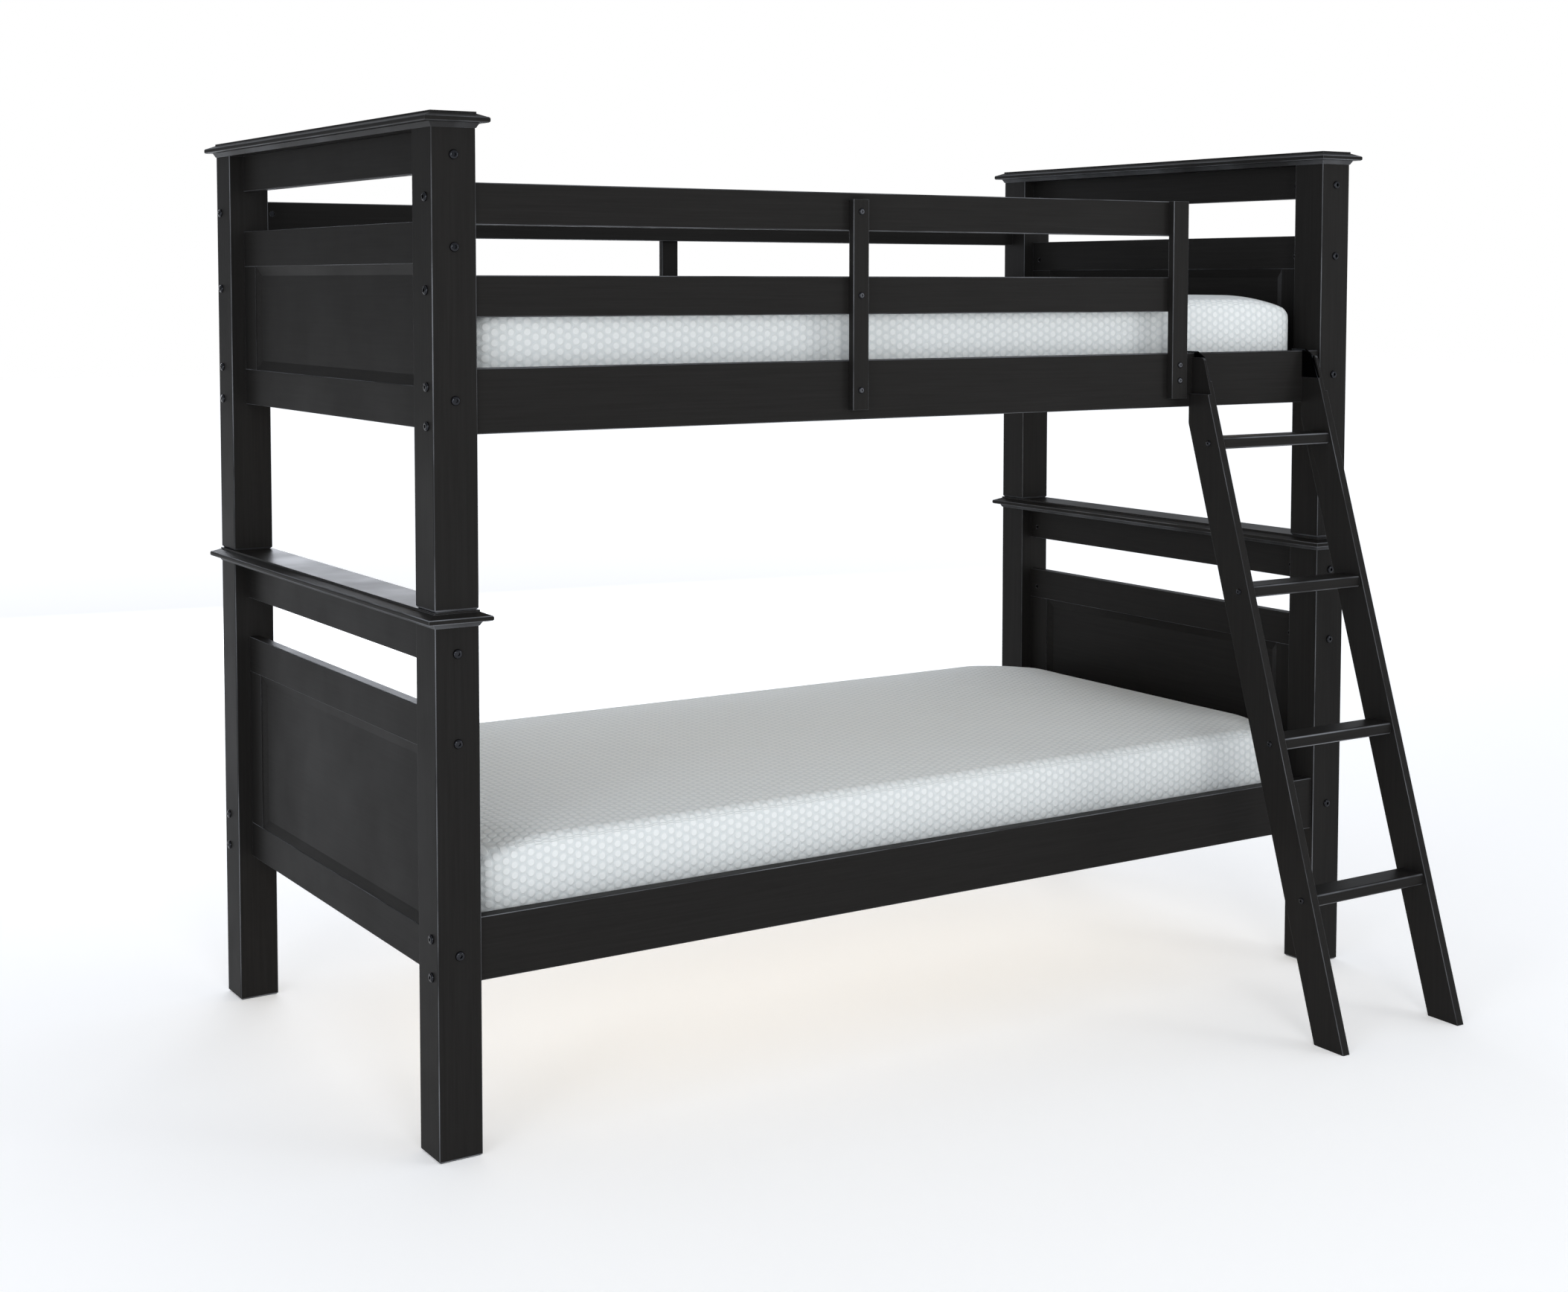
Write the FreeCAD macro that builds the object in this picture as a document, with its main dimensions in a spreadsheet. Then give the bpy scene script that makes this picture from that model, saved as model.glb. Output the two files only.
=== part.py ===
import FreeCAD, Part
import math
import os
import re
import Sketcher
from FreeCAD import Rotation, Vector

# A twin-over-twin bunk bed with a hook-on ladder, in millimetres.
# +X runs along the beds to the ladder end, -Y is the front, +Z is up.
# The origin is on the floor, under the middle of the bed and ladder together.

os.makedirs("parts", exist_ok=True)
doc = FreeCAD.newDocument("bunk_bed")

# ---------------------------------------------------------------- sizes
SIZES = {
    # the bed as a whole
    "bed_length": 2060.0,
    "bed_width": 1056.0,
    # posts: square, with softened corners and a small chamfer at the foot
    "post": 78.0,
    "post_round": 3.0,
    "post_foot_chamfer": 4.0,
    "lower_post_length": 879.0,
    "upper_post_length": 776.0,
    # crown cap: cove under the board, board with a thin edge, sloped top, flat slab
    "cap_overhang": 18.0,
    "cap_cove": 8.0,
    "cap_cove_out": 5.0,
    "cap_edge": 9.5,
    "cap_edge_round": 3.5,
    "cap_slope": 5.5,
    "cap_slab": 3.0,
    "cap_slab_out": 1.0,
    # end frames: three rails, two stiles and a bevelled panel
    "end_base": 290.0,
    "end_rail_height": 69.0,
    "end_rail_thick": 22.0,
    "end_gap": 78.0,
    "end_stile_width": 63.0,
    "end_edge_round": 1.5,
    "panel_bevel": 18.0,
    "panel_field": 8.0,
    "panel_border_drop": 1.5,
    # side rails
    "side_height": 107.0,
    "side_thick": 26.0,
    "side_setback": 7.0,
    "side_edge_round": 3.0,
    "lower_side_base": 290.0,
    "upper_side_base": 284.0,
    # slats on cleats
    "cleat": 22.0,
    "cleat_raise": 4.0,
    "slat_thick": 18.0,
    "slat_width": 70.0,
    "slat_round": 2.0,
    # mattresses
    "mattress_thick": 178.0,
    "mattress_corner": 45.0,
    "mattress_round": 20.0,
    "mattress_gap": 4.0,
    "resting_gap": 0.3,
    # guard rails
    "guard_height": 68.0,
    "guard_first_gap": 82.0,
    "guard_gap": 81.0,
    "upright_thick": 16.0,
    "upright_round": 2.5,
    "centre_upright_width": 34.0,
    "end_upright_width": 40.0,
    "upright_raise": 18.0,
    "centre_upright_drop": 12.0,
    # ladder
    "ladder_width": 331.0,
    "ladder_end_gap": 27.0,
    "ladder_opening_gap": 19.0,
    "ladder_nose": 25.68,
    "ladder_lean": 17.4,
    "ladder_top_drop": 9.0,
    "ladder_gap": 0.3,
    "stile_depth": 71.0,
    "stile_thick": 18.0,
    "stile_round": 1.8,
    "stile_nose_round": 9.0,
    "outer_rebate": 7.5,
    "outer_rebate_drop": 72.0,
    "inner_rebate_drop": 46.0,
    "rebate_over": 1.0,
    "rung_first": 267.0,
    "rung_pitch": 284.0,
    "rung_thick": 23.0,
    "rung_depth": 58.0,
    "rung_round": 6.0,
    # steel hooks
    "hook_thick": 5.0,
    "hook_bar": 3.0,
    "hook_nose": 6.0,
    "hook_lip": 20.0,
    # connector bolts, barrel nuts and screws
    "bolt_head_radius": 8.0,
    "bolt_head_height": 4.0,
    "bolt_shank_radius": 3.0,
    "bolt_key_radius": 3.3,
    "bolt_reach": 36.0,
    "bolt_inset": 24.0,
    "bolt_clearance": 0.2,
    "nut_radius": 5.0,
    "nut_length": 14.0,
    "nut_inset": 24.0,
    "side_bolt_low": 15.0,
    "side_bolt_pitch": 63.0,
    "end_bolt_low": 26.0,
    "end_bolt_high": 50.0,
    "guard_bolt_raise": 44.0,
    "screw_head_radius": 6.0,
    "screw_head_height": 2.5,
    "screw_shank_radius": 2.2,
    "screw_bite": 14.0,
    "board_screw_bite": 11.2,
    "end_screw_rise": 0.2857,
    "rung_screw_bite": 32.0,
    "rung_screw_forward": 10.0,
    # dowels that hold the upper bed on the lower one
    "dowel_radius": 6.0,
    "dowel_up": 38.0,
    "dowel_down": 32.0,
    "dowel_clearance": 0.6,
}
SLAT_COUNT = 13
RUNG_COUNT = 4

sheet = doc.addObject("Spreadsheet::Sheet", "Sizes")
for row, (alias, size) in enumerate(SIZES.items(), start=1):
    sheet.set(f"A{row}", alias)
    sheet.set(f"B{row}", str(size))
    sheet.setAlias(f"B{row}", alias)
doc.recompute()


def sized(text):
    """The expression text with every size's name read from the sheet."""
    return re.sub(r"[a-z_]+", lambda m: "Sizes." + m[0] if m[0] in SIZES else m[0], str(text))


def number(text):
    """The value in millimetres of an expression written with the sheet's names."""
    found = sheet.evalExpression(sized(text))
    return float(getattr(found, "Value", found))


def bind(thing, **properties):
    """Ties properties to expressions: a double underscore stands for a dot in the path."""
    for path, text in properties.items():
        thing.setExpression(path.replace("__", "."), sized(text))


def place(thing, at):
    bind(thing, Placement__Base__x=at[0], Placement__Base__y=at[1], Placement__Base__z=at[2])


# ---------------------------------------------------------------- building blocks
PIECES = {}


def keep(node, thing):
    """Names the finished piece; its label is the name of its STEP file."""
    thing.Label = node
    PIECES[node] = thing
    return thing


def box(name, size, at):
    piece = doc.addObject("Part::Box", name)
    bind(piece, Length=size[0], Width=size[1], Height=size[2])
    place(piece, at)
    return piece


def frustum(name, foot, head, height, at, turn):
    """A four-sided frustum about a centre line: foot and head are its two end rectangles."""
    piece = doc.addObject("Part::Wedge", name)
    for number_of, (across, deep) in (("", foot), ("2", head)):
        bind(piece, **{f"X{number_of}min": f"-({across})/2", f"X{number_of}max": f"({across})/2",
                       f"Z{number_of}min": f"-({deep})/2", f"Z{number_of}max": f"({deep})/2"})
    bind(piece, Ymin="0", Ymax=height)
    piece.Placement = FreeCAD.Placement(Vector(), turn)
    place(piece, at)
    return piece


def along(edge, axis):
    """True for a straight edge that runs along the axis."""
    run = edge.Vertexes[-1].Point - edge.Vertexes[0].Point
    return run.Length > 1e-6 and abs(abs(run.normalize().dot(axis)) - 1) < 1e-4


def dress(kind, name, base, radius, wanted):
    """Rounds (Part::Fillet) or chamfers (Part::Chamfer) the base's edges that wanted() accepts."""
    doc.recompute()
    piece = doc.addObject(kind, name)
    piece.Base = base
    size = number(radius)
    numbers = [i for i, edge in enumerate(base.Shape.Edges, start=1) if wanted(edge)]
    piece.Edges = [(i, size, size) for i in numbers]
    return piece


X, Y, Z = Vector(1, 0, 0), Vector(0, 1, 0), Vector(0, 0, 1)


def rounded(name, base, radius, axis):
    """Rounds the straight edges that run along the axis."""
    return dress("Part::Fillet", name, base, radius, lambda edge: along(edge, axis))


def cut(name, base, tool):
    piece = doc.addObject("Part::Cut", name)
    piece.Base = base
    piece.Tool = tool
    return piece


def fused(name, pieces):
    piece = doc.addObject("Part::MultiFuse", name)
    piece.Shapes = pieces
    return piece


def group(name, pieces):
    """Separate solids that share one node."""
    piece = doc.addObject("Part::Compound", name)
    piece.Links = pieces
    return piece


def rod(start, direction, radius, length):
    return Part.makeCylinder(radius, length, start, direction)


def bored(name, base, rods):
    """The base with a bore for each rod."""
    tool = doc.addObject("Part::Feature", name + "_bores")
    tool.Shape = rods[0].multiFuse(rods[1:]) if len(rods) > 1 else rods[0]
    return cut(name, base, tool)


# ---------------------------------------------------------------- where things are
LEFT = "-bed_length/2"
RIGHT = "bed_length/2"
CAP_HEIGHT = "(cap_cove + cap_edge + cap_slope + cap_slab)"
FOOT = {"lower": "0", "upper": f"(lower_post_length + {CAP_HEIGHT})"}
RAIL_TOP = f"({FOOT['upper']} + upper_side_base + side_height)"
LADDER_TOP = f"({RAIL_TOP} - ladder_top_drop)"
TAN_LEAN = "tan(ladder_lean*1deg)"
LADDER_REACH = f"({LADDER_TOP}*{TAN_LEAN} + ladder_nose)"
MIDDLE = f"(({LADDER_REACH} - cap_overhang)/2)"
FRONT = f"({MIDDLE} - bed_width/2)"
REAR = f"({MIDDLE} + bed_width/2)"
ENDS = {"left": LEFT, "right": RIGHT}
SIDES = {"front": FRONT, "rear": REAR}
INWARD = {"left": 1, "right": -1, "front": 1, "rear": -1}
INNER_LENGTH = "(bed_length - 2*post)"
INNER_WIDTH = "(bed_width - 2*post)"


def low(edge, side, depth):
    """The lower coordinate of something that lies from edge inwards by depth."""
    return edge if INWARD[side] > 0 else f"{edge} - ({depth})"


def inset(edge, side, distance):
    """The coordinate at a distance inwards from edge."""
    return f"{edge} + ({INWARD[side]})*({distance})"


def side_rail_base(bed):
    return f"({FOOT[bed]} + {bed}_side_base)"


END_BOTTOM = "end_base"
END_TOP = {bed: f"({bed}_post_length - end_rail_height)" for bed in FOOT}
END_MID = {bed: f"({bed}_post_length - 2*end_rail_height - end_gap)" for bed in FOOT}
END_RAILS = {
    bed: {"bottom": END_BOTTOM, "middle": END_MID[bed], "top": END_TOP[bed]} for bed in FOOT
}
GUARD_LOWER = f"({side_rail_base('upper')} + side_height + guard_first_gap)"
GUARD_UPPER = f"({GUARD_LOWER} + guard_height + guard_gap)"
GUARD_BOARDS = {"lower": GUARD_LOWER, "upper": GUARD_UPPER}
LADDER_RIGHT = "(bed_length/2 - post - ladder_end_gap)"
LADDER_LEFT = f"({LADDER_RIGHT} - ladder_width)"
OPENING = f"({LADDER_LEFT} - ladder_opening_gap)"

# ---------------------------------------------------------------- bolts
# Connector bolts pass through a post into the end of a rail or board, where each turns
# into a barrel nut.  End-face bolts hold the side rails and guard boards, front and rear
# face bolts hold the rails of the end frames.
shank_radius = number("bolt_shank_radius")
hole_radius = number("bolt_shank_radius + bolt_clearance")
post_depth = number("post")


def bolt_seats(bed):
    """Each bolt as the point under its head, its direction and its nut's direction."""
    seats = []
    base = number(side_rail_base(bed))
    for end, end_x in ENDS.items():
        for side, side_y in SIDES.items():
            x = number(end_x)
            y = number(inset(side_y, side, "bolt_inset"))
            heights = [base + number("side_bolt_low")]
            heights.append(heights[0] + number("side_bolt_pitch"))
            if bed == "upper" and (side == "rear" or end == "left"):
                heights += [number(f"{z} + guard_bolt_raise") for z in GUARD_BOARDS.values()]
            for z in heights:
                seats.append((Vector(x, y, z), X * INWARD[end], Y))
            x = number(inset(end_x, end, "post/2"))
            y = number(side_y)
            for rail, rail_z in END_RAILS[bed].items():
                raise_by = "end_bolt_high" if rail == "bottom" else "end_bolt_low"
                z = number(f"{FOOT[bed]} + {rail_z} + {raise_by}")
                seats.append((Vector(x, y, z), Y * INWARD[side], X))
    return seats


SEATS = {bed: bolt_seats(bed) for bed in FOOT}


def bolt_bores(bed):
    length = post_depth + number("bolt_reach + bolt_clearance")
    return [rod(at, way, hole_radius, length) for at, way, across in SEATS[bed]]


def nut_bores(bed):
    """Cross bores for the barrel nuts, open on the rails' inner faces."""
    bores = []
    radius = number("nut_radius + bolt_clearance")
    length = number("nut_length + 2*bolt_clearance")
    open_to = number("side_thick")
    for at, way, across in SEATS[bed]:
        centre = at + way * (post_depth + number("nut_inset"))
        if across == Y:
            inward = Y if at.y < number(MIDDLE) else -Y
        else:
            inward = X if at.x < 0 else -X
        bores.append(rod(centre - inward * (length / 2), inward, radius, open_to))
    return bores


# a rod counts as entering a piece once it is this far inside the piece's box
SKIN, THIN_SKIN = 1.0, 0.2


def near(rods, shape, skin=SKIN):
    """The rods that enter the shape's box."""
    zone = shape.BoundBox
    zone.enlarge(-skin)
    return [r for r in rods if r.BoundBox.intersect(zone)]


BORES = {bed: bolt_bores(bed) + nut_bores(bed) for bed in FOOT}


def bored_for_bolts(name, bed, base):
    doc.recompute()
    return bored(name, base, near(BORES[bed], base.Shape))


# a head's rim radius and its key's depth, as shares of the head's height
DOMING, KEY_DEPTH = 0.85, 0.6


def headed(radius, head_height, shank, length, socket):
    """A button-headed fastener at the origin: the head rises along -Z, the shank along +Z."""
    head = Part.makeCylinder(radius, head_height, Vector(0, 0, -head_height))
    rim = [e for e in head.Edges if len(e.Vertexes) == 1 and e.CenterOfMass.z < -head_height / 2]
    head = head.makeFillet(head_height * DOMING, rim)
    corners = [Vector(socket, 0, 0), *[Vector(socket * math.cos(math.radians(60 * k)),
               socket * math.sin(math.radians(60 * k)), 0) for k in range(1, 6)]]
    outline = Part.makePolygon(corners + corners[:1])
    hexagon = Part.Face(outline).extrude(Z * head_height)
    hexagon.translate(Vector(0, 0, -head_height * (2 - KEY_DEPTH)))
    return head.fuse(Part.makeCylinder(shank, length)).cut(hexagon).removeSplitter()


def set_at(shape, at, way):
    """A copy of a fastener shape with its seat at a point and its shank along way."""
    copy = shape.copy()
    copy.Placement = FreeCAD.Placement(at, Rotation(Z, way))
    return copy


def connectors(bed):
    length = post_depth + number("bolt_reach")
    bolt = headed(number("bolt_head_radius"), number("bolt_head_height"), shank_radius, length,
                  number("bolt_key_radius"))
    solids = []
    for at, way, across in SEATS[bed]:
        solids.append(set_at(bolt, at, way))
        centre = at + way * (post_depth + number("nut_inset"))
        length = number("nut_length")
        nut = rod(centre - across * (length / 2), across, number("nut_radius"), length)
        solids.append(nut.cut(rod(at, way, shank_radius, post_depth * 2)))
    piece = doc.addObject("Part::Feature", f"{bed}_connectors_shape")
    piece.Shape = Part.makeCompound(solids)
    return keep(f"{bed}_connectors", piece)


# ---------------------------------------------------------------- posts and dowels
def dowel_rods(extra):
    """The stacking dowels, one in the head of each lower post."""
    rods = []
    start = number("lower_post_length - dowel_down")
    length = number(f"dowel_down + {CAP_HEIGHT} + dowel_up") + extra
    for end, end_x in ENDS.items():
        for side, side_y in SIDES.items():
            x = number(inset(end_x, end, "post/2"))
            y = number(inset(side_y, side, "post/2"))
            rods.append(rod(Vector(x, y, start), Z, number("dowel_radius") + extra, length))
    return rods


DOWELS = dowel_rods(0.0)
DOWEL_BORES = {"lower": DOWELS, "upper": dowel_rods(number("dowel_clearance"))}


def post(bed, end, side):
    name = f"{bed}_post_{side}_{end}"
    corner = (low(ENDS[end], end, "post"), low(SIDES[side], side, "post"), FOOT[bed])
    blank = box(name + "_blank", ("post", "post", f"{bed}_post_length"), corner)
    floor = number(FOOT[bed])
    foot = dress("Part::Chamfer", name + "_foot", blank, "post_foot_chamfer",
                 lambda edge: abs(edge.BoundBox.ZMax - floor) < 1e-6)
    body = rounded(name + "_rounded", foot, "post_round", Z)
    doc.recompute()
    bores = BORES[bed] + DOWEL_BORES[bed]
    keep(name, bored(name + "_bored", body, near(bores, body.Shape)))


def stacking_dowels():
    piece = doc.addObject("Part::Feature", "stacking_dowels_shape")
    piece.Shape = Part.makeCompound(DOWELS)
    keep("stacking_dowels", piece)


# ---------------------------------------------------------------- end frames
UPRIGHT = Rotation(X, 90)


def crown_cap(bed, end):
    """The moulded board along the top of one end, bored for the dowels on the lower bed."""
    name = f"{bed}_crown_cap_{end}"
    middle_x = inset(ENDS[end], end, "post/2")
    top = f"({FOOT[bed]} + {bed}_post_length)"

    def outline(out):
        return (f"post + 2*({out})", f"bed_width + 2*({out})")

    cove = frustum(name + "_cove", outline("0.5"), outline("cap_cove_out"), "cap_cove",
                   (middle_x, MIDDLE, top), UPRIGHT)
    size = outline("cap_overhang")
    corner = (f"{middle_x} - post/2 - cap_overhang", f"{FRONT} - cap_overhang", f"{top} + cap_cove")
    board = box(name + "_board", (size[0], size[1], "cap_edge"), corner)
    edge = dress("Part::Fillet", name + "_edge", board, "cap_edge_round", lambda e: not along(e, Z))
    slope = frustum(name + "_slope", outline("cap_overhang - cap_edge_round"), outline("cap_slab_out"),
                    "cap_slope", (middle_x, MIDDLE, f"{top} + cap_cove + cap_edge"), UPRIGHT)
    size = outline("cap_slab_out")
    corner = (f"{middle_x} - post/2 - cap_slab_out", f"{FRONT} - cap_slab_out",
              f"{top} + cap_cove + cap_edge + cap_slope")
    slab = box(name + "_slab", (size[0], size[1], "cap_slab"), corner)
    whole = fused(name + "_whole", [cove, edge, slope, slab])
    if bed == "lower":
        whole = bored(name + "_bored", whole, near(DOWELS, cap_zone(end)))
    keep(name, whole)


def cap_zone(end):
    """A box round one end of the lower bed, to pick the dowels that stand in it."""
    x = number(low(ENDS[end], end, "post"))
    size = (number("post"), number("bed_width"), number("lower_post_length"))
    return Part.makeBox(*size, Vector(x, number(FRONT), 0))


def end_plane(end):
    """The lower X of the end frames' boards, which are centred on the posts."""
    return low(inset(ENDS[end], end, "(post - end_rail_thick)/2"), end, "end_rail_thick")


def end_rail(bed, end, rail):
    name = f"{bed}_{rail}_rail_{end}"
    size = ("end_rail_thick", INNER_WIDTH, "end_rail_height")
    at = (end_plane(end), f"{FRONT} + post", f"{FOOT[bed]} + {END_RAILS[bed][rail]}")
    board = rounded(name + "_rounded", box(name + "_blank", size, at), "end_edge_round", Y)
    keep(name, bored_for_bolts(name + "_bored", bed, board))


def panel_stiles(bed):
    """The four upright boards between the middle and bottom rails, two at each end."""
    stiles = []
    bottom = f"({FOOT[bed]} + end_base + end_rail_height)"
    height = f"({FOOT[bed]} + {END_MID[bed]} - {bottom})"
    for end in ENDS:
        for side, side_y in SIDES.items():
            y = low(inset(side_y, side, "post"), side, "end_stile_width")
            name = f"{bed}_stile_{side}_{end}"
            blank = box(name, ("end_rail_thick", "end_stile_width", height), (end_plane(end), y, bottom))
            stiles.append(blank)
    keep(f"{bed}_panel_stiles", group(f"{bed}_panel_stiles_group", stiles))


def panel(bed, end):
    """A panel whose border slopes from the frame down to a thinner field on both faces."""
    name = f"{bed}_panel_{end}"
    bottom = f"({FOOT[bed]} + end_base + end_rail_height)"
    height = f"({FOOT[bed]} + {END_MID[bed]} - {bottom})"
    width = f"({INNER_WIDTH} - 2*end_stile_width)"
    thick = "(end_rail_thick - 2*panel_border_drop)"
    x = f"({end_plane(end)} + panel_border_drop)"
    at = (x, f"{FRONT} + post + end_stile_width", bottom)
    blank = box(name + "_blank", (thick, width, height), at)
    sunk = f"({thick} - panel_field)/2"
    wide = (f"{width}", f"{height}")
    narrow = (f"{width} - 2*panel_bevel", f"{height} - 2*panel_bevel")
    centre_z = f"{bottom} + {height}/2"
    faces = [(x, Rotation(Z, -90)), (f"{x} + {thick}", Rotation(Z, 90))]
    hollows = []
    for i, (face_x, turn) in enumerate(faces):
        hollows.append(frustum(f"{name}_hollow{i}", wide, narrow, sunk, (face_x, MIDDLE, centre_z), turn))
    keep(name, cut(name + "_cut", cut(name + "_once", blank, hollows[0]), hollows[1]))


# ---------------------------------------------------------------- side rails, cleats, slats
def side_face(side):
    """The lower Y of a side rail or guard board."""
    return low(inset(SIDES[side], side, "side_setback"), side, "side_thick")


def side_rail(bed, side):
    name = f"{bed}_side_rail_{side}"
    size = (INNER_LENGTH, "side_thick", "side_height")
    blank = box(name + "_blank", size, (f"{LEFT} + post", side_face(side), side_rail_base(bed)))
    board = rounded(name + "_rounded", blank, "side_edge_round", X)
    body = bored_for_bolts(name + "_bored", bed, board)
    if bed == "upper":
        body = bored(name + "_screwed", body, near(screw_bores(), body.Base.Shape))
    keep(name, body)


def cleats(bed):
    """A strip along the inner face of each side rail, which the slats rest on."""
    strips = []
    for side, side_y in SIDES.items():
        y = low(inset(side_y, side, "side_setback + side_thick"), side, "cleat")
        at = (f"{LEFT} + post", y, f"{side_rail_base(bed)} + cleat_raise")
        strips.append(box(f"{bed}_cleat_{side}", (INNER_LENGTH, "cleat", "cleat"), at))
    keep(f"{bed}_cleats", group(f"{bed}_cleats_group", strips))


SLAT_BASE = {bed: f"({side_rail_base(bed)} + cleat_raise + cleat)" for bed in FOOT}


def slats(bed):
    """Evenly spaced boards across the bed, from post to post."""
    boards = []
    start = f"({LEFT} + post)"
    pitch = f"({INNER_LENGTH} - slat_width)/{SLAT_COUNT - 1}"
    width = "(bed_width - 2*side_setback - 2*side_thick - 2*resting_gap)"
    y = f"{FRONT} + side_setback + side_thick + resting_gap"
    for i in range(SLAT_COUNT):
        at = (f"{start} + {i}*{pitch}", y, SLAT_BASE[bed])
        blank = box(f"{bed}_slat_{i}_blank", ("slat_width", width, "slat_thick"), at)
        boards.append(rounded(f"{bed}_slat_{i}", blank, "slat_round", Y))
    keep(f"{bed}_slats", group(f"{bed}_slats_group", boards))


def mattress(bed):
    name = f"{bed}_mattress"
    length = f"({INNER_LENGTH} - 2*mattress_gap)"
    beside = "(mattress_gap + hook_bar)"
    width = f"(bed_width - 2*side_setback - 2*side_thick - 2*{beside})"
    at = (f"{LEFT} + post + mattress_gap", f"{FRONT} + side_setback + side_thick + {beside}",
          f"{SLAT_BASE[bed]} + slat_thick + resting_gap")
    blank = box(name + "_blank", (length, width, "mattress_thick"), at)
    cornered = rounded(name + "_cornered", blank, "mattress_corner", Z)
    keep(name, dress("Part::Fillet", name + "_rounded", cornered, "mattress_round",
                     lambda edge: not along(edge, Z)))


# ---------------------------------------------------------------- guard rails
GUARD_START = f"({LEFT} + post)"
FRONT_CENTRE = f"(({GUARD_START} + {OPENING} - end_upright_width)/2)"
END_CENTRE = f"({OPENING} - end_upright_width/2)"
GUARD_TOP = f"({GUARD_UPPER} + guard_height)"


def guard_screws_at():
    """Each guard screw as its seat, its direction and its length."""
    upright = number("upright_thick")
    board = number("side_thick")
    bite = number("screw_bite")
    rail = number(side_rail_base("upper"))
    half = number("side_height/2")
    boards = [number(f"{z} + guard_height/2") for z in GUARD_BOARDS.values()]
    front_face = number(f"{FRONT} + side_setback - upright_thick")
    rear_face = number(f"{REAR} - side_setback + upright_thick")
    back_of_boards = number(f"{FRONT} + side_setback + side_thick")
    found = []
    for z in [rail + half, *boards]:
        found.append((Vector(number(FRONT_CENTRE), front_face, z), Y, upright + bite))
        found.append((Vector(0, rear_face, z), -Y, upright + bite))
    for z in (rail + half, rail + half + number("side_height*end_screw_rise")):
        found.append((Vector(number(END_CENTRE), front_face, z), Y, upright + bite))
    for z in boards:
        found.append((Vector(number(END_CENTRE), back_of_boards, z), -Y, board + number("board_screw_bite")))
    return found


def screw_bores():
    radius = number("screw_shank_radius")
    return [rod(at, way, radius, length) for at, way, length in guard_screws_at()]


def screwed(name, base):
    doc.recompute()
    return bored(name, base, near(screw_bores(), base.Shape))


def guard_board(side, level):
    name = f"guard_{side}_board_{level}"
    length = f"({OPENING} - {GUARD_START})" if side == "front" else INNER_LENGTH
    size = (length, "side_thick", "guard_height")
    blank = box(name + "_blank", size, (GUARD_START, side_face(side), GUARD_BOARDS[level]))
    board = rounded(name + "_rounded", blank, "side_edge_round", X)
    keep(name, screwed(name + "_screwed", bored_for_bolts(name + "_bored", "upper", board)))


def guard_upright(name, side, centre, width, drop):
    """An upright on the outer faces of the side rail and both boards."""
    bottom = f"({side_rail_base('upper')} + upright_raise)"
    if side == "front":
        y = f"{FRONT} + side_setback - upright_thick"
    else:
        y = f"{REAR} - side_setback"
    size = (width, "upright_thick", f"({GUARD_TOP} - {drop} - {bottom})")
    blank = box(name + "_blank", size, (f"{centre} - {width}/2", y, bottom))
    keep(name, screwed(name + "_screwed", rounded(name + "_rounded", blank, "upright_round", Z)))


def fasteners(node, seats):
    """A node of screws, each at its seat."""
    solids = []
    for at, way, length in seats:
        screw = headed(number("screw_head_radius"), number("screw_head_height"),
                       number("screw_shank_radius"), length, number("screw_shank_radius"))
        solids.append(set_at(screw, at, way))
    piece = doc.addObject("Part::Feature", node + "_shape")
    piece.Shape = Part.makeCompound(solids)
    keep(node, piece)


# ---------------------------------------------------------------- ladder
STILE_CUT = "(stile_depth/cos(ladder_lean*1deg))"
BACK = "(side_setback - ladder_gap)"
ACROSS = "(stile_depth*3)"          # longer than any cut across a stile
STILES = {"left": LADDER_LEFT, "right": f"({LADDER_RIGHT} - stile_thick)"}


def outline_body(name, points, thick, at):
    """A body padded along +X from an outline in the YZ plane, each corner bound to the sheet."""
    body = doc.addObject("PartDesign::Body", name)
    sketch = body.newObject("Sketcher::SketchObject", name + "_outline")
    plane = [f for f in body.Origin.OriginFeatures if f.Role == "YZ_Plane"][0]
    sketch.AttachmentSupport = [(plane, "")]
    sketch.MapMode = "FlatFace"
    corners = [Vector(number(y), number(z), 0) for y, z in points]
    for i, corner in enumerate(corners):
        sketch.addGeometry(Part.LineSegment(corner, corners[(i + 1) % len(corners)]), False)
    for i in range(len(corners)):
        sketch.addConstraint(Sketcher.Constraint("Coincident", i, 2, (i + 1) % len(corners), 1))
    for i, (y, z) in enumerate(points):
        for kind, text, value in (("DistanceX", y, corners[i].x), ("DistanceY", z, corners[i].y)):
            k = sketch.addConstraint(Sketcher.Constraint(kind, -1, 1, i, 1, value))
            sketch.setExpression(f"Constraints[{k}]", sized(text))
    pad = body.newObject("PartDesign::Pad", name + "_pad")
    pad.Profile = sketch
    bind(pad, Length=thick)
    place(body, at)
    return body


def front_line(z):
    """The Y of the stile's front edge at a height, measured from the posts' front faces."""
    return f"((({z}) - {LADDER_TOP})*{TAN_LEAN} - ladder_nose)"


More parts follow.
